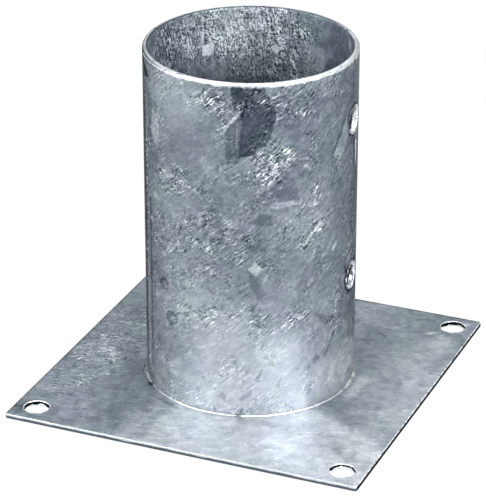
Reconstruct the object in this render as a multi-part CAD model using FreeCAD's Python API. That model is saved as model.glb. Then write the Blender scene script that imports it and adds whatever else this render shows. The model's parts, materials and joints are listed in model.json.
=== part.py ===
"""Screw-down base for a round timber post, in hot-dip galvanised steel.

A length of round steel tube, the sleeve, stands on a square sheet-steel base plate and is joined
to it by one fillet weld all the way round its foot.  The post drops into the open sleeve and is
held by screws or a bolt through two pairs of holes, one above the other, in the sleeve's sides.
The plate is screwed down through a hole near each corner.

Frame: millimetres, +Z up the sleeve, +X and +Y square to the plate's sides, with the origin at
the centre of the plate's underside.
"""

import FreeCAD
import Part
import math
import os

# Base plate
plate_side = 150.0
plate_thickness = 2.0
plate_corner_radius = 1.2
plate_edge_rounding = 0.3
anchor_hole_diameter = 10.5
anchor_hole_inset = 9.5  # from the plate's edges to the hole's centre

# Sleeve
post_diameter = 80.0
post_clearance = 0.5  # between the post and the sleeve, all round
sleeve_wall = 2.0
sleeve_height = 142.5  # from the plate's top face to the rim
rim_rounding_outside = 1.2
rim_rounding_inside = 0.3
screw_hole_diameter = 11.0
screw_hole_turn = 3.5  # degrees from +X towards +Y, about the sleeve's axis
upper_screw_inset = 26.0  # from the rim down to the hole's centre
lower_screw_height = 49.0  # from the plate's top face up to the hole's centre

# Weld
weld_leg = 1.8  # along the plate and up the sleeve
weld_bulge = 0.25  # how far the weld's face stands out from a flat fillet

# Derived sizes
sleeve_inner_radius = post_diameter / 2 + post_clearance
sleeve_outer_radius = sleeve_inner_radius + sleeve_wall
rim_height = plate_thickness + sleeve_height
screw_heights = (plate_thickness + lower_screw_height, rim_height - upper_screw_inset)
anchor_reach = plate_side / 2 - anchor_hole_inset  # from the plate's centre, along X and Y
edge_rounding = min(plate_edge_rounding, 0.45 * plate_thickness)
rim_outside = min(rim_rounding_outside, 0.65 * sleeve_wall)
rim_inside = min(rim_rounding_inside, 0.3 * sleeve_wall)

AXIS_FOOT = FreeCAD.Vector(0, 0, 0)
UP = FreeCAD.Vector(0, 0, 1)
QUARTER_MIDDLE = math.sqrt(0.5)  # how far out the middle of a quarter round of radius 1 lies


def section_point(radius, height):
    """A point of a section that is turned about the sleeve's axis."""
    return FreeCAD.Vector(radius, 0, height)


def line(start, end):
    return Part.LineSegment(start, end).toShape()


def arc(start, middle, end):
    return Part.Arc(start, middle, end).toShape()


def turned(edges):
    """The solid that a closed section makes in one full turn about the sleeve's axis."""
    section = Part.Face(Part.Wire(edges))
    return section.revolve(AXIS_FOOT, UP, 360)


def base_plate():
    """Square sheet with round corners, softened edges and an anchor hole near each corner."""
    outline = Part.makeBox(
        plate_side,
        plate_side,
        plate_thickness,
        FreeCAD.Vector(-plate_side / 2, -plate_side / 2, 0),
    )
    uprights = [edge for edge in outline.Edges if len(edge.Vertexes) == 2 and is_upright(edge)]
    sheet = outline.makeFillet(plate_corner_radius, uprights)
    face_edges = [edge for edge in sheet.Edges if not is_upright(edge)]
    sheet = sheet.makeFillet(edge_rounding, face_edges)
    for x in (-anchor_reach, anchor_reach):
        for y in (-anchor_reach, anchor_reach):
            centre = FreeCAD.Vector(x, y, 0)
            sheet = sheet.cut(Part.makeCylinder(anchor_hole_diameter / 2, plate_thickness, centre, UP))
    return sheet


def is_upright(edge):
    """Whether a straight or round edge of the sheet runs from one face to the other."""
    return edge.BoundBox.ZLength > plate_thickness / 2


def post_sleeve():
    """Open tube with a rounded rim and two screw holes through both of its sides."""
    foot_outside = section_point(sleeve_outer_radius, plate_thickness)
    foot_inside = section_point(sleeve_inner_radius, plate_thickness)
    outside_start = section_point(sleeve_outer_radius, rim_height - rim_outside)
    outside_middle = section_point(
        sleeve_outer_radius - rim_outside * (1 - QUARTER_MIDDLE),
        rim_height - rim_outside * (1 - QUARTER_MIDDLE),
    )
    outside_end = section_point(sleeve_outer_radius - rim_outside, rim_height)
    inside_start = section_point(sleeve_inner_radius + rim_inside, rim_height)
    inside_middle = section_point(
        sleeve_inner_radius + rim_inside * (1 - QUARTER_MIDDLE),
        rim_height - rim_inside * (1 - QUARTER_MIDDLE),
    )
    inside_end = section_point(sleeve_inner_radius, rim_height - rim_inside)
    tube = turned(
        [
            line(foot_inside, foot_outside),
            line(foot_outside, outside_start),
            arc(outside_start, outside_middle, outside_end),
            line(outside_end, inside_start),
            arc(inside_start, inside_middle, inside_end),
            line(inside_end, foot_inside),
        ]
    )
    turn = math.radians(screw_hole_turn)
    across = FreeCAD.Vector(math.cos(turn), math.sin(turn), 0)
    for height in screw_heights:
        start = FreeCAD.Vector(0, 0, height) - across * sleeve_outer_radius
        drill = Part.makeCylinder(screw_hole_diameter / 2, 2 * sleeve_outer_radius, start, across)
        tube = tube.cut(drill)
    return tube


def weld_bead():
    """Fillet weld in the corner between the sleeve's foot and the plate, all the way round."""
    crown_reach = weld_leg / 2 + weld_bulge * QUARTER_MIDDLE
    corner = section_point(sleeve_outer_radius, plate_thickness)
    toe_on_plate = section_point(sleeve_outer_radius + weld_leg, plate_thickness)
    crown = section_point(sleeve_outer_radius + crown_reach, plate_thickness + crown_reach)
    toe_on_sleeve = section_point(sleeve_outer_radius, plate_thickness + weld_leg)
    return turned(
        [
            line(corner, toe_on_plate),
            arc(toe_on_plate, crown, toe_on_sleeve),
            line(toe_on_sleeve, corner),
        ]
    )


def main():
    os.makedirs("parts", exist_ok=True)
    base_plate().exportStep("parts/base_plate.step")
    post_sleeve().exportStep("parts/post_sleeve.step")
    weld_bead().exportStep("parts/weld_bead.step")


main()
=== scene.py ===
import json
import math

import bmesh
import bpy
from mathutils import Matrix, Vector, noise


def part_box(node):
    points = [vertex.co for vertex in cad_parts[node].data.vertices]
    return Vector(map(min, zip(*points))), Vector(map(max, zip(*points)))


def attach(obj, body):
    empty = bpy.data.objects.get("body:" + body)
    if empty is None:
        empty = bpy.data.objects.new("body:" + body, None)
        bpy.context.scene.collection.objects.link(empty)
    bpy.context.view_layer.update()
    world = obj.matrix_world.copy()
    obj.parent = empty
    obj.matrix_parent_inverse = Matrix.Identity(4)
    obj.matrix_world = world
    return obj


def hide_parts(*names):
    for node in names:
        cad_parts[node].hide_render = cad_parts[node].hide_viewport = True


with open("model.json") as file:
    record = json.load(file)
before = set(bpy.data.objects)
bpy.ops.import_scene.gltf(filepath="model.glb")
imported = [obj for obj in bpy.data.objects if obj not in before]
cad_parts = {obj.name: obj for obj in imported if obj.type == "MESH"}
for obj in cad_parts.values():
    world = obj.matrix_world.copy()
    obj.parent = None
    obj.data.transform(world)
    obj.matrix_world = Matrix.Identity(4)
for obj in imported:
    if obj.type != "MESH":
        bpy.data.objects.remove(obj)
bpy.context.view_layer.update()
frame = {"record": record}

# A screw-down base for a round timber post, in hot-dip galvanised steel: a square plate, a tube
# that stands on it, and the weld between them.  Lengths are in metres, and places come from the
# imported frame.

MM = 0.001
TINY = 1e-6  # two places closer than this are the same

plate_low, plate_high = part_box("base_plate")
sleeve_low, sleeve_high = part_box("post_sleeve")
weld_low, weld_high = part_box("weld_bead")
mounts = {mount["name"]: mount for mount in frame["record"]["mounts"]}

# Plate
plate_side = plate_high[0] - plate_low[0]
half_side = plate_side / 2
plate_thickness = plate_high[2] - plate_low[2]
plate_top = plate_high[2]
plate_corner_radius = 1.2 * MM
plate_edge_rounding = 0.35 * MM
anchor_hole_radius = mounts["anchor_holes"]["dims"]["hole_r_mm"] * MM
anchor_reach = mounts["anchor_holes"]["dims"]["spacing_x_mm"] / 2 * MM

# Sleeve
outer_radius = (sleeve_high[0] - sleeve_low[0]) / 2
inner_radius = mounts["post_socket"]["dims"]["r_mm"] * MM
sleeve_wall = outer_radius - inner_radius
sleeve_foot = sleeve_low[2]
sleeve_rim = sleeve_high[2]
sleeve_height = sleeve_rim - sleeve_foot
rim_rounding_outside = 1.2 * MM
rim_rounding_inside = 0.3 * MM
screw_hole_radius = mounts["upper_screw_hole"]["dims"]["r_mm"] * MM
screw_lip_rounding = 0.6 * MM
screw_axis = mounts["upper_screw_hole"]["axis"]
screw_turn = math.atan2(screw_axis[1], screw_axis[0])
upper_screw_height = mounts["upper_screw_hole"]["pos_m"][2]
lower_screw_height = mounts["lower_screw_hole"]["pos_m"][2]
seam_turn = math.radians(142)  # where the rolled strip's edges meet
front_turn = seam_turn - math.pi

# Weld
weld_leg = (weld_high[0] - weld_low[0]) / 2 - outer_radius
weld_sunk = 0.2 * MM  # how deep its section goes into the plate and the sleeve

# Zinc that gathers round a hole, in mm: how far it reaches from the hole, and how far it comes
# inwards and up, each as a mean and a swing.
anchor_lip = (1.6, (0.15, 0.35), (0.22, 0.2))
upper_screw_lip = (1.5, (0.09, 0.48), (0.3, 0.15))
lower_screw_lip = (2.1, (0.87, 1.44), (0.3, 0.45))

# Zinc's colour.  A tone runs from 0 to 1 as the eye sees it, and a tint is what each channel gets
# on top, counted from TINT_FLOOR so that it stays above 0.
TINT_FLOOR = 0.05
BLUE_TINT = (0.007, 0.056, 0.086, 1)
VIOLET_TINT = (0.016, 0.047, 0.095, 1)
PALEST_TONE = 0.96
EYE_GAMMA = 2.2

# How far a pattern's place strays, and how wide the lumps are in which it strays.
RAGGED = {"Lump": 2.5 * MM, "Reach": 2.6 * MM}
LOOSE = {"Lump": 9 * MM, "Reach": 8 * MM}
SWIRLED = {"Lump": 17 * MM, "Reach": 5.5 * MM}

STRIP_MAP = "strip"  # the sleeve's UV map, in metres along and up the unrolled strip


# ---------------------------------------------------------------- node trees


def feed(tree, socket, value):
    """Links a socket to another one, or sets it to a plain value."""
    if isinstance(value, bpy.types.NodeSocket):
        tree.links.new(value, socket)
    else:
        socket.default_value = value


def put(tree, kind, inputs=None, **settings):
    """Adds a node, with its settings, and sets or links its inputs."""
    made = tree.nodes.new(kind)
    for name, value in settings.items():
        setattr(made, name, value)
    for name, value in (inputs or {}).items():
        feed(tree, made.inputs[name], value)
    return made


def calc(tree, how, first, second=0.0, third=0.0):
    """One sum on two or three values."""
    return put(tree, "ShaderNodeMath", {0: first, 1: second, 2: third}, operation=how).outputs[0]


def product(tree, first, *others):
    for other in others:
        first = calc(tree, "MULTIPLY", first, other)
    return first


def scaled_add(tree, base, value, amount):
    """base + value x amount"""
    return calc(tree, "MULTIPLY_ADD", value, amount, base)


def varied(tree, tone, cloudy, amount):
    """Lifts and lowers a tone with a value from 0 to 1, which leaves it alone at 0.5."""
    return scaled_add(tree, tone, calc(tree, "SUBTRACT", cloudy, 0.5), amount)


def vector_calc(tree, how, first, second=(0, 0, 0), scale=1.0):
    made = put(tree, "ShaderNodeVectorMath", {0: first, 1: second, 3: scale}, operation=how)
    return made.outputs["Value" if how in ("LENGTH", "DOT_PRODUCT") else "Vector"]


def turned(tree, place, angle):
    """Place turned about Z, by an angle in radians."""
    inputs = {"Vector": place, "Angle": angle}
    return put(tree, "ShaderNodeVectorRotate", inputs, rotation_type="Z_AXIS").outputs[0]


def cloud(tree, place, size, detail=3.0, roughness=0.55, distortion=0.0):
    """Cloudy value from 0 to 1, centred on 0.5.  size is the width of a lump, in metres."""
    inputs = {"Vector": place, "Scale": 1 / size, "Detail": detail, "Roughness": roughness}
    inputs["Distortion"] = distortion
    return put(tree, "ShaderNodeTexNoise", inputs).outputs["Fac"]


def step_up(tree, value, low, high, low_out=0.0, high_out=1.0):
    """Smooth step from low_out to high_out as value goes from low to high."""
    inputs = {"Value": value, "From Min": low, "From Max": high}
    inputs.update({"To Min": low_out, "To Max": high_out})
    return put(tree, "ShaderNodeMapRange", inputs, interpolation_type="SMOOTHSTEP").outputs[0]


def mixed_colour(tree, share, first, second):
    return put(tree, "ShaderNodeMix", {0: share, 6: first, 7: second}, data_type="RGBA").outputs[2]


def object_place(tree):
    return put(tree, "ShaderNodeTexCoord").outputs["Object"]


def new_group(name, inputs, outputs):
    """Empty node group with named sockets, and its own input and output nodes."""
    tree = bpy.data.node_groups.new(name, "ShaderNodeTree")
    for label, kind in inputs:
        tree.interface.new_socket(label, in_out="INPUT", socket_type=kind)
    for label, kind in outputs:
        tree.interface.new_socket(label, in_out="OUTPUT", socket_type=kind)
    return tree, tree.nodes.new("NodeGroupInput").outputs, tree.nodes.new("NodeGroupOutput").inputs


def place_group(tree, group, **inputs):
    """Puts a node group in a tree, sets or links its inputs, and gives back its outputs."""
    made = put(tree, "ShaderNodeGroup", node_tree=group)
    for name, value in inputs.items():
        feed(tree, made.inputs[name], value)
    return made.outputs


VALUE, VECTOR, COLOUR = "NodeSocketFloat", "NodeSocketVector", "NodeSocketColor"


def make_ragged_place():
    """Shifts a place a little at random, so that what is drawn there gets ragged edges."""
    inputs = [("Place", VECTOR), ("Lump", VALUE), ("Reach", VALUE)]
    tree, given, result = new_group("ragged place", inputs, [("Place", VECTOR)])
    scale = calc(tree, "DIVIDE", 1.0, given["Lump"])
    inputs = {"Vector": given["Place"], "Scale": scale, "Detail": 4.0, "Roughness": 0.65}
    stray = put(tree, "ShaderNodeTexNoise", inputs).outputs["Color"]
    stray = vector_calc(tree, "SUBTRACT", stray, (0.5, 0.5, 0.5))
    stray = vector_calc(tree, "SCALE", stray, scale=given["Reach"])
    tree.links.new(vector_calc(tree, "ADD", given["Place"], stray), result["Place"])
    return tree


def make_spangle():
    """Zinc crystals: ragged flakes, each with its own shade and tilt."""
    inputs = [("Place", VECTOR), ("Flake", VALUE)]
    tree, given, result = new_group("zinc spangle", inputs, [("Shade", VALUE), ("Tilt", VECTOR)])
    scale = calc(tree, "DIVIDE", 1.0, given["Flake"])
    flakes = put(tree, "ShaderNodeTexVoronoi", {"Vector": given["Place"], "Scale": scale})
    own = put(tree, "ShaderNodeSeparateColor", {0: flakes.outputs["Color"]}).outputs
    tree.links.new(own[0], result["Shade"])
    tilt = vector_calc(tree, "SUBTRACT", flakes.outputs["Color"], (0.5, 0.5, 0.5))
    tree.links.new(tilt, result["Tilt"])
    return tree


def drawn_out_cloud(tree, given, roughness, distortion):
    """Cloudy value whose lumps lie one way, with the Turn, Length and Width that are given."""
    along = turned(tree, given["Place"], given["Turn"])
    size = put(tree, "ShaderNodeCombineXYZ", {0: given["Length"], 1: given["Width"], 2: 1.0})
    place = vector_calc(tree, "DIVIDE", along, size.outputs[0])
    return cloud(tree, place, 1.0, 3.0, roughness, distortion)


DRAWN_OUT = [("Place", VECTOR), ("Turn", VALUE), ("Length", VALUE), ("Width", VALUE)]


def make_brushing():
    """Fine lines that run one way: Lines is centred on 0, and Strokes are the strongest of them."""
    inputs = DRAWN_OUT + [("Cover", VALUE)]
    tree, given, result = new_group("brushing", inputs, [("Lines", VALUE), ("Strokes", VALUE)])
    lines = drawn_out_cloud(tree, given, 0.6, 0.35)
    tree.links.new(calc(tree, "SUBTRACT", lines, 0.5), result["Lines"])
    low = calc(tree, "SUBTRACT", 0.8, given["Cover"])
    high = calc(tree, "ADD", low, 0.10)
    tree.links.new(step_up(tree, lines, low, high), result["Strokes"])
    return tree


def make_veins():
    """Thin curling lines, where zinc ran as it set."""
    tree, given, result = new_group("veins", DRAWN_OUT, [("Mask", VALUE)])
    level = drawn_out_cloud(tree, given, 0.55, 0.8)
    away = calc(tree, "ABSOLUTE", calc(tree, "SUBTRACT", level, 0.5))
    tree.links.new(step_up(tree, away, 0.05, 0.0), result["Mask"])
    return tree


def make_smudge():
    """Mask of one soft oval on the flat sheet."""
    inputs = [("Place", VECTOR), ("Centre", VECTOR), ("Size", VECTOR), ("Turn", VALUE), ("Core", VALUE)]
    tree, given, result = new_group("smudge", inputs, [("Mask", VALUE)])
    away = vector_calc(tree, "SUBTRACT", given["Place"], given["Centre"])
    away = vector_calc(tree, "DIVIDE", turned(tree, away, given["Turn"]), given["Size"])
    distance = vector_calc(tree, "LENGTH", vector_calc(tree, "MULTIPLY", away, (1, 1, 0)))
    tree.links.new(step_up(tree, distance, 1.0, given["Core"]), result["Mask"])
    return tree


def make_tint():
    """Turns a tone into zinc's colour, which drifts between blue and violet and pales as it brightens."""
    inputs = [("Place", VECTOR), ("Tone", VALUE), ("Tint", VALUE)]
    tree, given, result = new_group("zinc tint", inputs, [("Colour", COLOUR)])
    drift = step_up(tree, cloud(tree, given["Place"], 20 * MM, 3.0), 0.38, 0.62)
    tint = mixed_colour(tree, drift, BLUE_TINT, VIOLET_TINT)
    paling = step_up(tree, given["Tone"], 0.5, 0.72, 0.0, 0.28)
    paling = calc(tree, "ADD", paling, calc(tree, "SUBTRACT", 1.0, given["Tint"]))
    tint = mixed_colour(tree, paling, tint, (TINT_FLOOR, TINT_FLOOR, TINT_FLOOR, 1))
    tone = calc(tree, "MAXIMUM", calc(tree, "MINIMUM", given["Tone"], PALEST_TONE), TINT_FLOOR)
    tone = calc(tree, "SUBTRACT", tone, TINT_FLOOR)
    grey = put(tree, "ShaderNodeCombineColor", {0: tone, 1: tone, 2: tone})
    colour = vector_calc(tree, "ADD", grey.outputs[0], tint)
    colour = put(tree, "ShaderNodeGamma", {"Color": colour, "Gamma": EYE_GAMMA}).outputs[0]
    tree.links.new(colour, result["Colour"])
    return tree


ragged_place = make_ragged_place()
spangle = make_spangle()
brushing = make_brushing()
veins = make_veins()
smudge = make_smudge()
zinc_tint = make_tint()


def make_galvanised_face():
    """A face that came out of the zinc bath: clouds, crystals, curls and fine lines.

    Base is its mean tone, Busy, Hatch and Grain rule the fine lines and the speckle, Lean is the way
    they run, and Crinkle says where they gather.  Marks and Shifts are tones that are laid one by one,
    and Level scales the whole.
    """
    inputs = [("Place", VECTOR), ("Solid", VECTOR)]
    for name in ("Base", "Busy", "Hatch", "Grain", "Lean", "Crinkle", "Marks", "Shifts", "Level", "Tint"):
        inputs.append((name, VALUE))
    outputs = [("Colour", COLOUR), ("Roughness", VALUE), ("Height", VALUE), ("Normal", VECTOR)]
    tree, given, result = new_group("galvanised face", inputs, outputs)
    loose = place_group(tree, ragged_place, Place=given["Place"], **LOOSE)[0]
    swirled = place_group(tree, ragged_place, Place=given["Place"], **SWIRLED)[0]
    flakes = place_group(tree, spangle, Place=loose, Flake=13 * MM)

    def lines(off, length, width, cover):
        """Lines off the lean by so many degrees, with their length and width in mm."""
        turn = calc(tree, "SUBTRACT", -math.radians(off), given["Lean"])
        size = {"Length": length * MM, "Width": width * MM}
        return place_group(tree, brushing, Place=swirled, Turn=turn, Cover=cover, **size)

    def curls(length, width):
        turn = calc(tree, "MULTIPLY", given["Lean"], -0.6)
        size = {"Length": length * MM, "Width": width * MM}
        return place_group(tree, veins, Place=loose, Turn=turn, **size)["Mask"]

    clouds = cloud(tree, given["Solid"], 26 * MM, 3.0, 0.5)
    mottle = cloud(tree, loose, 4.5 * MM, 4.0, 0.62)
    grain_scale = calc(tree, "DIVIDE", 1.0, given["Grain"])
    grain_place = vector_calc(tree, "SCALE", given["Solid"], scale=grain_scale)
    grain = cloud(tree, grain_place, 1.0, 2.0, 0.65)

    strength = product(tree, given["Busy"], given["Crinkle"])
    scratches = product(tree, lines(6, 3.4, 0.75, 0.24)["Strokes"], 0.40)
    scratches = scaled_add(tree, scratches, lines(24, 3.0, 0.7, 0.24)["Strokes"], -0.36)
    scratches = scaled_add(tree, scratches, lines(2, 5.0, 0.8, 0.2)["Lines"], 0.85)
    scratches = scaled_add(tree, scratches, lines(-62, 3.6, 0.7, 0.2)["Lines"], 0.5)
    scratches = product(tree, scratches, given["Hatch"], strength)
    speckle = product(tree, calc(tree, "SUBTRACT", grain, 0.5), 0.55, strength)
    darkest_scratch, darkest_speck = -0.26, -0.16
    scratches = calc(tree, "MAXIMUM", scratches, darkest_scratch)
    speckle = calc(tree, "MAXIMUM", speckle, darkest_speck)
    fine = calc(tree, "ADD", scratches, speckle)

    tone = varied(tree, given["Base"], clouds, 0.16)
    tone = varied(tree, tone, flakes["Shade"], 0.05)
    tone = varied(tree, tone, mottle, 0.24)
    tone = scaled_add(tree, tone, lines(0, 12, 2.6, 0.24)["Strokes"], 0.05)
    tone = scaled_add(tree, tone, curls(14, 6), 0.025)
    tone = scaled_add(tree, tone, curls(6, 2.6), 0.035)
    tone = calc(tree, "ADD", tone, fine)
    uneven = scaled_add(tree, 0.8, mottle, 0.4)
    tone = scaled_add(tree, tone, given["Marks"], uneven)
    tone = calc(tree, "ADD", tone, given["Shifts"])
    tone = product(tree, tone, given["Level"])

    colour = place_group(tree, zinc_tint, Place=given["Solid"], Tone=tone, Tint=given["Tint"])
    tree.links.new(colour["Colour"], result["Colour"])
    tree.links.new(step_up(tree, mottle, 0.3, 0.7, 0.38, 0.5), result["Roughness"])
    tree.links.new(scaled_add(tree, mottle, fine, 2.0), result["Height"])
    own = put(tree, "ShaderNodeNewGeometry").outputs["Normal"]
    leaned = vector_calc(tree, "ADD", own, vector_calc(tree, "SCALE", flakes["Tilt"], scale=0.07))
    tree.links.new(vector_calc(tree, "NORMALIZE", leaned), result["Normal"])
    return tree


galvanised_face = make_galvanised_face()


def on_strip(degrees, height):
    """Place on the unrolled strip of a turn from +X, in degrees, and a height, in mm."""
    turn = (math.radians(degrees) - front_turn + math.pi) % math.tau - math.pi
    return Vector((turn * outer_radius, height * MM, 0))


def on_plate(x, y):
    """Place on the plate, from its middle in mm."""
    return Vector((x * MM, y * MM, 0))


def facet_mask(tree, place, corners, softness):
    """Mask of one facet with straight sides.  Its corners go round to the left."""
    inside = None
    for corner, following in zip(corners, corners[1:] + corners[:1]):
        side = (following - corner).normalized()
        inward = Vector((-side.y, side.x, 0))
        depth = vector_calc(tree, "DOT_PRODUCT", place, inward)
        depth = calc(tree, "SUBTRACT", depth, inward.dot(corner))
        inside = depth if inside is None else calc(tree, "MINIMUM", inside, depth)
    return step_up(tree, inside, -softness * MM, softness * MM)


def add_facets(tree, place, tone, spot, facets):
    for change, softness, corners in facets:
        mask = facet_mask(tree, place, [spot(*corner) for corner in corners], softness)
        tone = scaled_add(tree, tone, mask, change)
    return tone


def add_smudges(tree, place, tone, spot, smudges):
    for change, core, centre, size, turn in smudges:
        size = (size[0] * MM, size[1] * MM, 1)
        oval = {"Centre": spot(*centre), "Size": size, "Turn": math.radians(-turn), "Core": core}
        mask = place_group(tree, smudge, Place=place, **oval)["Mask"]
        tone = scaled_add(tree, tone, mask, change)
    return tone


def blank_material(name):
    material = bpy.data.materials.new(name)
    material.use_nodes = True
    material.node_tree.nodes.clear()
    return material, material.node_tree


def zinc_material(name):
    """New material with zinc's gloss, still without its colour."""
    material, tree = blank_material(name)
    gloss = {"Metallic": 0.85, "Specular IOR Level": 0.25, "Specular Tint": (0.3, 0.3, 0.3, 1)}
    shader = put(tree, "ShaderNodeBsdfPrincipled", gloss)
    put(tree, "ShaderNodeOutputMaterial", {0: shader.outputs[0]})
    return material, tree, shader


# Marks laid one by one.  A facet, mostly a crystal, has straight sides: its change of tone, the
# softness of its edge in mm, and its corners.  A smudge is a change of tone, its solid core as a share
# of its size, its middle, half its width and height in mm, and its turn in degrees.  A crinkle is a
# smudge that gathers fine lines, or keeps them off.  Some facets and smudges are painted light, shade
# or reflection, as said where they stand.  On the sleeve a place is a turn from +X in degrees and a
# height in mm, and on the plate it is x and y in mm.
SLEEVE_FACETS = [
    # Dark crystals below the rim, and the bright edges between them
    (-0.18, 0.5, [(-78, 144), (-77, 136), (-72, 130), (-56, 126), (-54, 132), (-58, 139), (-62, 144)]),
    (-0.20, 0.5, [(-72, 130), (-73.5, 114), (-66, 115.5), (-58, 121), (-56, 126)]),
    (-0.11, 0.6, [(-81, 126), (-80, 111), (-73, 112), (-72, 132)]),
    (0.20, 0.3, [(-82, 126), (-81, 125), (-72, 133), (-73, 134)]),
    (0.10, 0.3, [(-74.5, 129), (-75.5, 118), (-74.5, 118), (-73.5, 129)]),
    # Crystal like a fan, its bright edge, and the dark one beside it
    (-0.07, 0.7, [(-60, 99), (-59, 97), (-41, 95), (-44, 104), (-50, 107)]),
    (0.14, 0.5, [(-60, 92), (-53, 92.5), (-46, 92), (-38, 93), (-46, 95), (-54, 95)]),
    (-0.11, 0.6, [(-68, 87), (-61, 85), (-56, 85.5), (-56, 90), (-62, 90.5)]),
    # Bright flake, with its painted shadow below it
    (0.20, 0.4, [(-69, 67), (-64.5, 64), (-61, 67), (-65, 70.5)]),
    (-0.07, 0.6, [(-69, 67), (-68, 62), (-64, 54), (-59, 56), (-64, 64)]),
    # Flakes on the right
    (0.18, 0.4, [(-19, 69), (-17, 67.5), (-14, 71), (-16, 72)]),
    (0.09, 0.3, [(-19, 109), (-12, 106), (-2, 116), (-7, 122)]),
    (-0.12, 0.3, [(-21, 108), (-19, 108), (-8, 122), (-10, 122)]),
    # Dark flakes near the foot
    (-0.09, 0.6, [(-31, 44), (-25, 37), (-15, 36), (-16, 39)]),
    (-0.14, 0.3, [(-25, 23), (-23, 23), (-15, 32), (-17, 32)]),
    (-0.14, 0.4, [(-33, 24), (-31, 21.5), (-27, 23), (-29, 25.5)]),
    (-0.11, 0.3, [(-65, 18), (-63, 17), (-60.5, 23), (-62, 23.5)]),
    (-0.09, 0.3, [(-54, 15), (-52, 14), (-49.5, 20), (-51, 20)]),
    (-0.10, 0.4, [(-74, 10), (-72, 8.5), (-66, 12.5), (-67, 14.5)]),
    (-0.10, 0.5, [(-86, 10), (-81, 8), (-80, 10.5), (-83, 12)]),
    # Wide crystal at the foot, on the right
    (-0.06, 1.0, [(-37, 21), (-35, 2), (22, 2), (22, 30), (-22, 27)]),
    # Lines down the left side, and the dark corner below the rim: painted shade along the sleeve's left
    # flank
    (-0.14, 0.4, [(-136.5, 12), (-134.5, 12), (-134.5, 86), (-136.5, 86)]),
    (-0.12, 0.5, [(-148, 6), (-144, 6), (-144, 140), (-148, 140)]),
    (-0.34, 0.3, [(-156, 142), (-141, 135.5), (-136, 137), (-149, 144)]),
    # Thick zinc along the rim
    (0.40, 0.3, [(-157, 143.2), (24, 143.2), (24, 150), (-157, 150)]),
    # Bright line between the dark ones
    (0.10, 0.4, [(-142, 10), (-139.5, 10), (-139.5, 128), (-142, 128)]),
]
SLEEVE_SMUDGES = [
    # Pale and dark patches, from the rim down
    (0.13, 0.1, (-114, 138), (24, 28), 0),
    (0.14, 0.7, (-129, 117.5), (4, 8), 8),
    (-0.05, 0.4, (-134, 122), (3, 14), 0),
    (0.04, 0.3, (-54, 110), (5, 12), -38),
    (0.22, 0.2, (-33, 79), (9, 1.4), 40),
    (0.10, 0.2, (-20, 72), (5, 1.2), 50),
    (-0.07, 0.1, (-66, 79), (9, 8), 0),
    (0.06, 0.2, (-119, 101), (5, 3), 20),
    (0.13, 0.2, (-129, 89), (3, 2.5), 20),
    (0.14, 0.2, (-121, 66), (2.5, 2), -30),
    (-0.16, 0.7, (-121, 52.5), (3.4, 3.0), 0),
    (0.14, 0.5, (-120.5, 52), (2.2, 2.0), 0),
    (-0.18, 0.7, (-115, 39), (3.8, 3.6), 0),
    (0.14, 0.5, (-114.5, 38.5), (2.6, 2.5), 0),
    (0.24, 0.1, (-40, 44.5), (2.2, 2.0), 0),
    (0.16, 0.1, (-50, 41), (7, 1.2), 26),
    (0.10, 0.1, (-84, 47), (8, 1.4), 28),
    (0.09, 0.1, (-100, 58), (9, 1.6), 24),
    # The foot is paler: painted reflection of the bright plate below it.
    (0.16, 0.0, (-78, 34), (70, 38), 0),
    (0.28, 0.0, (-76, 4), (94, 34), 0),
    (0.13, 0.0, (-122, 6), (30, 22), 0),
    (0.24, 0.0, (-6, 12), (32, 28), 0),
    (0.07, 0.0, (-29, 12), (14, 18), 0),
    (0.12, 0.0, (12, 14), (14, 22), 0),
    (0.09, 0.0, (-50, 32), (20, 14), 0),
    # Paler ground on the left and the right
    (0.10, 0.2, (-123, 116), (9, 9), 0),
    (0.06, 0.0, (-108, 62), (26, 24), 0),
    (0.07, 0.0, (-116, 92), (20, 26), 0),
    (-0.06, 0.2, (-45, 132), (15, 16), 0),
    (0.07, 0.0, (-32, 86), (18, 30), 0),
    # Drip below the upper hole with its painted shadow, and painted shade on both sides of the sleeve
    (0.5, 0.4, (8.5, 104), (1.2, 9), 0),
    (-0.16, 0.3, (4.5, 104), (1.1, 9), 0),
    (-0.34, 0.1, (-149, 84), (9, 80), 0),
    (-0.13, 0.0, (14, 84), (15, 52), 0),
    (-0.22, 0.1, (13, 52), (9, 18), 0),
    # Dark ring round each hole
    (-0.2, 0.82, (3.5, 118.5), (7.6, 7.6), 0),
    (-0.2, 0.82, (3.5, 51), (8, 8), 0),
]
SLEEVE_CRINKLES = [
    (1.35, 0.4, (-56, 111), (9, 14), -38),
    (0.8, 0.4, (-86, 135), (9, 9), 0),
    (0.8, 0.4, (-45, 136), (14, 9), 0),
    (0.9, 0.3, (-118, 98), (10, 7), 0),
    (0.4, 0.3, (-66, 136), (9, 8), 0),
    (0.25, 0.1, (-95, 75), (34, 22), 0),
    (1.0, 0.3, (-32, 79), (12, 5), 40),
    (0.5, 0.2, (-88, 46), (16, 8), 25),
    (0.9, 0.2, (-47, 42), (10, 4), 26),
    (0.5, 0.3, (-35, 13), (6, 6), 25),
    (0.35, 0.3, (-85, 5), (30, 4), 0),
    (0.2, 0.2, (-68, 20), (12, 10), 0),
    (0.9, 0.4, (-145, 80), (5, 70), 0),
    (0.6, 0.3, (2, 60), (10, 14), 0),
    (-0.35, 0.3, (-108, 122), (19, 18), 0),
    (-0.22, 0.4, (-70, 18), (62, 26), 0),
    (-0.2, 0.3, (-50, 62), (14, 9), 0),
]
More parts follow.
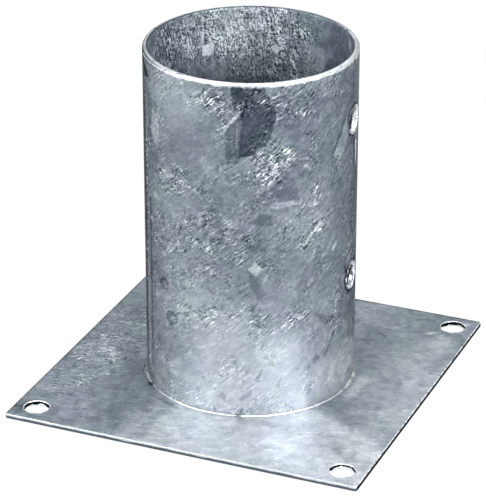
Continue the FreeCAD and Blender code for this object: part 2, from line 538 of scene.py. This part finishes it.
PLATE_FACETS = [
    # Darker bands along the back and left edges
    (-0.22, 0.25, [(-80, 74.2), (80, 74.2), (80, 80), (-80, 80)]),
    (-0.16, 0.25, [(-80, -80), (-74.2, -80), (-74.2, 80), (-80, 80)]),
    # Bright ground in front, a painted reflection of the sleeve's pale foot, and the dark band on its left
    (0.135, 2.4, [(-19, -42), (-17, -57), (-22, -84), (84, -84), (80, -46), (41, -25), (0, -20)]),
    (0.11, 5.0, [(-33, -37), (-30, -57), (-36, -84), (84, -84), (84, -50), (41, -23), (0, -20)]),
    (
        -0.06,
        2.0,
        [(-52, -15), (-52, -25), (-41, -50), (-34, -78), (-27, -78), (-22, -57), (-24, -44), (-41, -10)],
    ),
]
PLATE_SMUDGES = [
    # Painted shadow on the plate under the weld: along its front, and darkest at the gap in the bead
    (-0.14, 0.2, (-19, -41.5), (9, 2.0), -25),
    (-0.3, 0.2, (-31.6, -29.6), (3, 1.4), -47),
    # Pale and dark patches
    (0.18, 0.2, (59, 57), (5, 1.6), 40),
    (0.16, 0.2, (70, 70), (3, 2), 40),
    (0.03, 0.2, (20, -56), (40, 20), 0),
    (-0.02, 0.2, (38, -40), (14, 12), -40),
    (0.04, 0.2, (52, -64), (26, 14), 0),
    (0.12, 0.4, (64, 4), (26, 64), 0),
    (0.06, 0.2, (0, 66), (60, 20), 0),
    (0.11, 0.2, (67, 50), (8, 12), 0),
    (-0.05, 0.2, (70, 13), (4, 4), 0),
    (-0.17, 0.2, (-68, -67), (14, 9), 0),
    (0.15, 0.2, (46.5, 0), (4, 17), 0),
]
PLATE_CRINKLES = [
    (1.8, 0.4, (-62, -10), (16, 60), 0),
    (0.5, 0.1, (-45, -62), (16, 12), 0),
    (-0.1, 0.1, (20, -55), (44, 22), 0),
]
INSIDE_FACETS = [
    # Two crystals on the right, one dark and one pale
    (-0.08, 0.4, [(52, 128), (53, 116), (66, 112), (70, 118), (62, 128)]),
    (0.08, 0.3, [(65, 123), (74, 119), (79.5, 124), (78, 131), (66, 131)]),
    # Bright flake and lines at the seam
    (0.42, 0.3, [(133.5, 130), (135, 125), (141.8, 125), (141.8, 129.5)]),
    (-0.24, 0.3, [(138.5, 130), (140, 130), (140, 142), (138.5, 142)]),
    (0.22, 0.3, [(140.3, 130), (141.8, 130), (141.8, 142), (140.3, 142)]),
    (0.16, 0.3, [(134, 131), (135, 131), (137, 142), (136, 142)]),
    # Bright fleck, and painted shade on the ground deeper in the tube
    (0.5, 0.3, [(96, 128), (97, 125), (101, 126), (100, 128)]),
    (-0.10, 1.0, [(84, 120), (84, 100), (141.8, 100), (141.8, 119), (115, 116)]),
]
INSIDE_SMUDGES = [
    # Painted light on the upper far inner wall, and other pale and dark patches
    (0.17, 0.0, (122, 136), (42, 24), 0),
    (0.12, 0.2, (150, 134), (12, 20), 0),
    (-0.03, 0.2, (160, 130), (14, 20), 0),
    (-0.03, 0.2, (45, 130), (18, 20), 0),
    (0.16, 0.3, (38, 139), (3, 4), 0),
    # Painted shade on the inner wall round +X
    (-0.35, 0.6, (0, 90), (20, 60), 0),
]
INSIDE_CRINKLES = [
    (1.3, 0.5, (115, 136), (32, 18), 0),
    (1.3, 0.3, (160, 134), (24, 20), 0),
    (0.6, 0.3, (182, 126), (20, 20), 0),
    (0.7, 0.4, (102, 128), (36, 20), 0),
    (-0.35, 0.4, (60, 128), (13, 22), 0),
    (-0.5, 0.5, (64, 127), (6, 8), 0),
    (-0.3, 0.5, (139, 128), (4, 4), 0),
]


def make_face(name, spot, marks, **settings):
    """Material of one galvanised face.

    spot gives the place of a mark, marks are the facets, smudges and crinkles that only this face
    has, and settings are the other inputs of the galvanised face group.
    """
    facets, smudges, crinkles = marks
    material, tree, shader = zinc_material(name)
    place = solid = object_place(tree)
    if spot is on_strip:
        place = put(tree, "ShaderNodeUVMap", uv_map=STRIP_MAP).outputs[0]
    ragged = place_group(tree, ragged_place, Place=place, **RAGGED)[0]
    loose = place_group(tree, ragged_place, Place=place, **LOOSE)[0]
    gathered = step_up(tree, cloud(tree, place, 12 * MM, 2.0), 0.42, 0.62, 0.22, 0.7)
    patches = step_up(tree, cloud(tree, loose, 7 * MM, 2.0), 0.38, 0.6, 0.5, 1.3)
    least_crinkle = 0.08
    crinkle = calc(tree, "MAXIMUM", add_smudges(tree, loose, gathered, spot, crinkles), least_crinkle)
    face = place_group(
        tree,
        galvanised_face,
        Place=place,
        Solid=solid,
        Crinkle=product(tree, crinkle, patches),
        Marks=add_facets(tree, ragged, 0.0, spot, facets),
        Shifts=add_smudges(tree, ragged, 0.0, spot, smudges),
        **settings,
    )
    tree.links.new(face["Colour"], shader.inputs["Base Color"])
    tree.links.new(face["Roughness"], shader.inputs["Roughness"])
    bump = {"Strength": 0.2, "Distance": 0.3 * MM, "Height": face["Height"], "Normal": face["Normal"]}
    tree.links.new(put(tree, "ShaderNodeBump", bump).outputs[0], shader.inputs["Normal"])
    return material


def lay_zinc(tree, shader, solid, tone, grain, roughness):
    """Gives a shader the colour, roughness and grain of zinc on an edge."""
    colour = place_group(tree, zinc_tint, Place=solid, Tone=tone, Tint=0.7)["Colour"]
    tree.links.new(colour, shader.inputs["Base Color"])
    tree.links.new(roughness, shader.inputs["Roughness"])
    bump = put(tree, "ShaderNodeBump", {"Strength": 0.3, "Distance": 0.3 * MM, "Height": grain})
    tree.links.new(bump.outputs[0], shader.inputs["Normal"])


def make_plate_edge():
    """Cut edges and hole walls of the plate: bright, with dark bands that end unevenly.

    On the outer edges these bands are painted: a contact shadow along the foot, and shade on the right.
    """
    material, tree, shader = zinc_material("zinc on the plate's edges")
    solid = object_place(tree)
    part = put(tree, "ShaderNodeSeparateXYZ", {0: solid}).outputs
    scallops = cloud(tree, solid, 2.4 * MM, 1.0)
    grain = cloud(tree, solid, 1.4 * MM, 3.0, 0.7)

    def by_depth(none, full):
        """Mask from 0 at one depth in mm below the top face to 1 at another."""
        return step_up(tree, part[2], plate_top - none * MM, plate_top - full * MM)

    def near_right(none, full):
        """Mask from 0 at one distance in mm from the right edge to 1 at another."""
        return step_up(tree, part[0], half_side - none * MM, half_side - full * MM)

    # Holes: the wall is dark from just below its brink down to a scalloped line.
    out = calc(tree, "MAXIMUM", calc(tree, "ABSOLUTE", part[0]), calc(tree, "ABSOLUTE", part[1]))
    in_hole = step_up(tree, out, half_side - 1.5 * MM, half_side - 2 * MM)
    break_line = scaled_add(tree, 1.9 * MM, scallops, -2.4 * MM)
    over_line = step_up(tree, calc(tree, "SUBTRACT", part[2], break_line), 0.0, 0.2 * MM)
    hole_dark = product(tree, over_line, by_depth(0.05, 0.2), in_hole)

    # Outer edges: a painted contact shadow, half dark, along the foot, and painted shade almost up to the
    # top on the right.
    foot_line = scaled_add(tree, 0.6 * MM, cloud(tree, solid, 9 * MM, 3.0), 1.3 * MM)
    under_line = step_up(tree, calc(tree, "SUBTRACT", foot_line, part[2]), -0.2 * MM, 0.3 * MM)
    painted_contact_shadow = product(tree, under_line, step_up(tree, in_hole, 1.0, 0.0), 0.6)
    painted_shade_on_right = product(tree, near_right(0.4, 0.1), by_depth(0.1, 0.3))
    # dark holds the holes' dark band, the painted contact shadow and the painted shade on the right.
    dark = calc(tree, "MAXIMUM", calc(tree, "MAXIMUM", hole_dark, painted_contact_shadow), painted_shade_on_right)

    tone = scaled_add(tree, scaled_add(tree, 0.50, in_hole, 0.14), grain, 0.3)
    bright_lip = product(tree, by_depth(0.3, 0.15), step_up(tree, scallops, 0.4, 0.6), near_right(1.0, 0.4))
    tone = scaled_add(tree, tone, bright_lip, 0.4)
    tone = product(tree, tone, scaled_add(tree, 1.0, dark, -0.92))
    lay_zinc(tree, shader, solid, tone, grain, step_up(tree, grain, 0.3, 0.7, 0.28, 0.45))
    return material


def make_thick_zinc(name, level):
    """Zinc that lies thick on an edge or a weld, darker at the back of the sleeve."""
    material, tree, shader = zinc_material(name)
    solid = object_place(tree)
    clouds = cloud(tree, solid, 14 * MM, 3.0, 0.6)
    grain = cloud(tree, solid, 1.1 * MM, 3.0, 0.7)
    chips = step_up(tree, cloud(tree, solid, 3.2 * MM, 3.0, 0.7), 0.58, 0.68)
    backwards = vector_calc(tree, "DOT_PRODUCT", solid, (-0.77, 0.64, 0))
    at_back = step_up(tree, backwards, -14 * MM, 16 * MM)

    # The two brinks of the sleeve's rim
    middle = (outer_radius + inner_radius) / 2
    reach = vector_calc(tree, "LENGTH", vector_calc(tree, "MULTIPLY", solid, (1, 1, 0)))
    off_middle = calc(tree, "ABSOLUTE", calc(tree, "SUBTRACT", reach, middle))
    height = put(tree, "ShaderNodeSeparateXYZ", {0: solid}).outputs[2]
    at_rim = step_up(tree, height, sleeve_rim - 4 * MM, sleeve_rim - 2 * MM)
    brinks = product(tree, step_up(tree, off_middle, 0.45 * MM, 0.75 * MM), at_rim)

    tone = scaled_add(tree, level - 0.17, clouds, 0.18)
    tone = scaled_add(tree, tone, grain, 0.16)
    tone = scaled_add(tree, tone, chips, -0.3)
    tone = scaled_add(tree, tone, at_back, -0.08)
    tone = scaled_add(tree, tone, product(tree, at_back, brinks), -0.42)
    lay_zinc(tree, shader, solid, tone, grain, step_up(tree, clouds, 0.3, 0.7, 0.25, 0.38))
    return material


# ---------------------------------------------------------------- shapes


def ease(value):
    """Smooth step of a value held between 0 and 1."""
    value = min(max(value, 0.0), 1.0)
    return value * value * (3 - 2 * value)


def hump(turn, middle, half_width):
    """1 at the middle of a stretch of turns, and 0 from its ends on."""
    return ease(1 - abs(turn - middle) / half_width)


def edges_where(edges, test):
    """The edges whose two ends both pass a test on their place."""
    return [edge for edge in edges if all(test(vert.co) for vert in edge.verts)]


def bevel(mesh, edges, offset, segments):
    bmesh.ops.bevel(
        mesh, geom=edges, offset=offset, segments=segments, profile=0.5, affect="EDGES", material=-1
    )


def sharp_edges(mesh):
    sharp = 1.2  # radians
    return [edge for edge in mesh.edges if len(edge.link_faces) == 2 and edge.calc_face_angle(0) > sharp]


def pierced_sheet(width, height, columns, rows, holes):
    """Flat sheet of small square faces, with neat rings of faces round each hole.

    holes are (x, y, radius).  The sheet lies in XY, facing up, centred on the origin.
    """
    sheet = bmesh.new()
    bmesh.ops.create_grid(sheet, x_segments=columns, y_segments=rows, size=0.5)
    bmesh.ops.scale(sheet, vec=(width, height, 1), verts=sheet.verts)
    cell = max(width / columns, height / rows)
    rings = 5
    for x, y, radius in holes:
        centre = Vector((x, y, 0))
        reach = 1.4 * radius  # half the side of the square that the rings fill

        def square_distance(place):
            away = place - centre
            return max(abs(away.x), abs(away.y))

        inside = [face for face in sheet.faces if square_distance(face.calc_center_median()) < reach]
        bmesh.ops.delete(sheet, geom=inside, context="FACES")
        border = [edge for edge in sheet.edges if edge.is_boundary]
        close = reach + 0.8 * cell
        border = edges_where(border, lambda place: square_distance(place) < close)
        for ring in range(rings):
            made = bmesh.ops.extrude_edge_only(sheet, edges=border)["geom"]
            border = [item for item in made if isinstance(item, bmesh.types.BMEdge) and item.is_boundary]
            for vert in {vert for edge in border for vert in edge.verts}:
                on_hole = centre + (vert.co - centre).normalized() * radius
                vert.co = vert.co.lerp(on_hole, 1 / (rings - ring))
    bmesh.ops.recalc_face_normals(sheet, faces=sheet.faces)
    if next(iter(sheet.faces)).normal.z < 0:
        bmesh.ops.reverse_faces(sheet, faces=sheet.faces)
    return sheet


def thicken(sheet, thickness):
    """Gives a flat sheet its thickness, downwards from z = 0."""
    made = bmesh.ops.extrude_face_region(sheet, geom=sheet.faces[:], use_keep_orig=True)["geom"]
    lower = [item for item in made if isinstance(item, bmesh.types.BMVert)]
    bmesh.ops.translate(sheet, vec=(0, 0, -thickness), verts=lower)
    bmesh.ops.recalc_face_normals(sheet, faces=sheet.faces)


def gather_zinc(mesh, x, y, radius, lip, floor, lump_scale, lump_shift):
    """Draws the edge of a hole inwards, and up where it lies above floor, in uneven lumps."""
    reach, inwards, up = lip
    for vert in mesh.verts:
        away = Vector((vert.co.x - x, vert.co.y - y, 0))
        near = ease(1 - (away.length - radius) / (reach * MM))
        if near == 0:
            continue
        lump = noise.noise(vert.co * lump_scale + lump_shift)
        vert.co -= away.normalized() * near * (inwards[0] + inwards[1] * lump) * MM
        if vert.co.z > floor:
            vert.co.z += near * (up[0] + up[1] * lump) * MM


def add_object(name, data):
    made = bpy.data.objects.new(name, data)
    bpy.context.scene.collection.objects.link(made)
    return made


def finish_piece(mesh, name, node, materials):
    """Makes an object of a mesh, at the origin, and hands it to the frame."""
    bmesh.ops.recalc_face_normals(mesh, faces=mesh.faces)
    data = bpy.data.meshes.new(name)
    mesh.to_mesh(data)
    mesh.free()
    data.shade_smooth()
    for material in materials:
        data.materials.append(material)
    piece = add_object(name, data)
    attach(piece, "root")
    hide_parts(node)


def make_plate(finish, edge_finish):
    cells = 100
    corners = [(x, y) for x in (-anchor_reach, anchor_reach) for y in (-anchor_reach, anchor_reach)]
    holes = [(x, y, anchor_hole_radius) for x, y in corners]
    plate = pierced_sheet(plate_side, plate_side, cells, cells, holes)
    thicken(plate, plate_thickness)
    bmesh.ops.translate(plate, vec=(0, 0, plate_top), verts=plate.verts)
    corner = half_side - TINY
    bevel(
        plate,
        edges_where(plate.edges, lambda place: min(abs(place.x), abs(place.y)) > corner),
        plate_corner_radius,
        segments=4,
    )
    bevel(plate, sharp_edges(plate), plate_edge_rounding, segments=3)
    level, edge_index = 0.99, 1
    for face in plate.faces:
        if abs(face.normal.z) < level:
            face.material_index = edge_index
    for x, y, radius in holes:
        shift = Vector((x, y, 0)) * 50
        gather_zinc(plate, x, y, radius, anchor_lip, plate_top - 0.6 * MM, 700, shift)
    finish_piece(plate, "plate_sheet", "base_plate", [finish, edge_finish])


def roll_up(strip):
    """Bends the flat strip into the tube, with its middle at the front and its ends at the seam."""
    for vert in strip.verts:
        turn = front_turn + vert.co.x / outer_radius
        reach = outer_radius + vert.co.z
        vert.co = (reach * math.cos(turn), reach * math.sin(turn), sleeve_foot + vert.co.y)


def make_sleeve(outside, inside, edge_finish):
    """A flat strip, pierced, rounded at the rim and at the holes, and rolled up."""
    columns, rows = 200, 108
    strip_length = math.tau * outer_radius
    middle = sleeve_height / 2
    holes = []
    for turn in (screw_turn, screw_turn + math.pi):
        along = ((turn - front_turn + math.pi) % math.tau - math.pi) * outer_radius
        for height in (lower_screw_height, upper_screw_height):
            holes.append((along, height - sleeve_foot - middle, screw_hole_radius))
    strip = pierced_sheet(strip_length, sleeve_height, columns, rows, holes)
    thicken(strip, sleeve_wall)
    bmesh.ops.translate(strip, vec=(0, middle, 0), verts=strip.verts)

    end = strip_length / 2 - TINY
    ends = [face for face in strip.faces if all(abs(vert.co.x) > end for vert in face.verts)]
    bmesh.ops.delete(strip, geom=ends, context="FACES_ONLY")

    rim = edges_where(strip.edges, lambda place: place.y > sleeve_height - TINY)
    outer_rim = edges_where(rim, lambda place: place.z > -TINY)
    bevel(strip, outer_rim, rim_rounding_outside, segments=5)
    rim = [edge for edge in rim if edge.is_valid]
    inner_rim = edges_where(rim, lambda place: place.z < TINY - sleeve_wall)
    bevel(strip, inner_rim, rim_rounding_inside, segments=2)
    clear = 3 * MM  # of the rim and the foot, so that only the holes' edges are left
    lips = edges_where(sharp_edges(strip), lambda place: clear < place.y < sleeve_height - clear)
    bevel(strip, lips, screw_lip_rounding, segments=3)

    for x, y, radius in holes:
        lip = lower_screw_lip if y < 0 else upper_screw_lip
        shift = Vector((x, y, 0)) * 40
        gather_zinc(strip, x, y + middle, radius, lip, -0.8 * MM, 600, shift)

    ring_width = 0.35 * MM  # of thick zinc round each hole
    level, inside_index, edge_index = 0.97, 1, 2
    for face in strip.faces:
        place = face.calc_center_median()
        nearest = min(math.hypot(place.x - x, place.y - y - middle) for x, y, radius in holes)
        in_ring = place.z > -0.5 * MM and nearest < screw_hole_radius + ring_width
        if abs(face.normal.z) < level or in_ring:
            face.material_index = edge_index
        elif place.z < -sleeve_wall / 2:
            face.material_index = inside_index

    strip_map = strip.loops.layers.uv.new(STRIP_MAP)
    for face in strip.faces:
        for loop in face.loops:
            loop[strip_map].uv = (loop.vert.co.x, loop.vert.co.y + sleeve_foot)
    roll_up(strip)
    bmesh.ops.remove_doubles(strip, verts=strip.verts, dist=TINY)
    finish_piece(strip, "sleeve_tube", "post_sleeve", [outside, inside, edge_finish])


def make_weld(finish):
    """Fillet bead: its section is turned about the sleeve's axis, and then made uneven."""
    bead = bmesh.new()
    # The section, in weld legs out from the sleeve and up from the plate; below 0 it is sunk in.
    section = [(-1, -1), (1.0, -1), (1.0, 0.0), (0.9, 0.3), (0.62, 0.62), (0.3, 0.9), (0.0, 1.0), (-1, 1.0)]
    corners = []
    for out, up in section:
        out = -weld_sunk if out < 0 else out * weld_leg
        up = -weld_sunk if up < 0 else up * weld_leg
        corners.append(bead.verts.new((outer_radius + out, 0, plate_top + up)))
    outline = [bead.edges.new((a, b)) for a, b in zip(corners, corners[1:] + corners[:1])]
    bmesh.ops.spin(
        bead,
        geom=corners + outline,
        cent=(0, 0, 0),
        axis=(0, 0, 1),
        angle=math.tau,
        steps=360,
        use_merge=True,
    )
    # The bead is thin in front, heavy at the back and at two stops, and nearly missing at one spot.
    thin, extra = 0.32, 0.54
    for vert in bead.verts:
        turn = math.degrees(math.atan2(vert.co.y, vert.co.x))
        out = math.hypot(vert.co.x, vert.co.y) - outer_radius
        up = vert.co.z - plate_top
        lump = noise.noise(Vector((vert.co.x, vert.co.y, 0)) * 260)
        at_back = ease((70 - abs(turn - 110)) / 30)
        heavy = max(hump(turn, 8, 14), hump(turn, -153, 14), at_back)
        missing = hump(turn, -137, 3)
        thick = (thin + extra * heavy) * (1 + 0.35 * lump) * (1 - 0.92 * missing)
        reach = outer_radius + (out * thick if out > 0 else out)
        flat = Vector((vert.co.x, vert.co.y, 0)).normalized() * reach
        vert.co = (flat.x, flat.y, plate_top + (up * thick if up > 0 else up))
    finish_piece(bead, "weld_ring", "weld_bead", [finish])


sleeve_outside = make_face(
    "galvanised sleeve outside",
    on_strip,
    (SLEEVE_FACETS, SLEEVE_SMUDGES, SLEEVE_CRINKLES),
    Base=0.475,
    Level=0.83,
    Tint=0.72,
    Busy=1.0,
    Hatch=0.95,
    Grain=1.1 * MM,
    Lean=math.radians(34),
)
sleeve_inside = make_face(
    "galvanised sleeve inside",
    on_strip,
    (INSIDE_FACETS, INSIDE_SMUDGES, INSIDE_CRINKLES),
    Base=0.50,
    Level=1.0,
    Tint=1.0,
    Busy=2.4,
    Hatch=0.3,
    Grain=0.8 * MM,
    Lean=math.radians(70),
)
plate_face = make_face(
    "galvanised plate",
    on_plate,
    (PLATE_FACETS, PLATE_SMUDGES, PLATE_CRINKLES),
    Base=0.585,
    Level=0.83,
    Tint=0.81,
    Busy=0.47,
    Hatch=0.7,
    Grain=1.1 * MM,
    Lean=math.radians(20),
)
make_plate(plate_face, make_plate_edge())
make_sleeve(sleeve_outside, sleeve_inside, make_thick_zinc("thick zinc on edges", 0.76))
make_weld(make_thick_zinc("galvanised weld", 0.67))


# ---------------------------------------------------------------- stage, light and camera


def make_floor():
    """Plain pale floor just under the plate, which looks nearly white to the camera."""
    mesh = bmesh.new()
    bmesh.ops.create_grid(mesh, x_segments=1, y_segments=1, size=3.0)
    bmesh.ops.translate(mesh, vec=(0, 0, plate_low[2] - 0.2 * MM), verts=mesh.verts)
    data = bpy.data.meshes.new("floor")
    mesh.to_mesh(data)
    mesh.free()
    material, tree = blank_material("pale floor")
    seen = put(tree, "ShaderNodeLightPath").outputs["Is Camera Ray"]
    matt = put(tree, "ShaderNodeBsdfDiffuse", {"Color": (0.55, 0.55, 0.55, 1)}).outputs[0]
    white = put(tree, "ShaderNodeEmission", {"Color": (1, 1, 1, 1), "Strength": 1.0}).outputs[0]
    both = put(tree, "ShaderNodeMixShader", {0: product(tree, seen, 0.97), 1: matt, 2: white})
    put(tree, "ShaderNodeOutputMaterial", {0: both.outputs[0]})
    data.materials.append(material)
    add_object("floor", data)


def make_world(level):
    """White all round: level is its light, and the camera sees it plain white."""
    world = bpy.data.worlds.new("studio")
    bpy.context.scene.world = world
    world.use_nodes = True
    tree = world.node_tree
    tree.nodes.clear()
    seen = put(tree, "ShaderNodeLightPath").outputs["Is Camera Ray"]
    strength = put(tree, "ShaderNodeMix", {0: seen, 2: level, 3: 1.0}, data_type="FLOAT").outputs[0]
    background = put(tree, "ShaderNodeBackground", {"Color": (1, 1, 1, 1), "Strength": strength})
    put(tree, "ShaderNodeOutputWorld", {0: background.outputs[0]})


def add_softbox(name, place, aim, side, power):
    """Square lamp, aimed at a place."""
    data = bpy.data.lights.new(name, "AREA")
    data.size = side
    data.energy = power
    light = add_object(name, data)
    light.location = place
    light.rotation_euler = (Vector(place) - Vector(aim)).to_track_quat("Z", "Y").to_euler()


def make_camera():
    azimuth, elevation = math.radians(22.77), math.radians(25.65)
    distance = 1.1326
    aim_aside, aim_height = -3.09 * MM, 55.1 * MM
    level = math.cos(elevation)
    back = Vector((math.sin(azimuth) * level, -math.cos(azimuth) * level, math.sin(elevation)))
    right = Vector((math.cos(azimuth), math.sin(azimuth), 0))
    target = right * aim_aside + Vector((0, 0, aim_height))
    data = bpy.data.cameras.new("camera")
    data.lens = 202.0
    data.sensor_width = 36.0
    data.clip_end = 20.0
    camera = add_object("camera", data)
    turn = Matrix((right, back.cross(right), back)).transposed().to_4x4()
    camera.matrix_world = Matrix.Translation(target + back * distance) @ turn
    bpy.context.scene.camera = camera


make_floor()
make_world(0.8)
add_softbox("left", place=(-0.6, -0.6, 0.65), aim=(0, 0, 0.05), side=0.7, power=14.5)
add_softbox("right", place=(0.75, -0.3, 0.65), aim=(0, 0, 0.05), side=0.7, power=17.5)
add_softbox("back top", place=(-0.1, 0.35, 0.95), aim=(0, 0, 0.0), side=0.8, power=4.4)
add_softbox("front top", place=(0.1, -0.35, 0.95), aim=(0, 0, 0.14), side=0.5, power=6.0)
make_camera()
bpy.context.scene.view_settings.view_transform = "Standard"
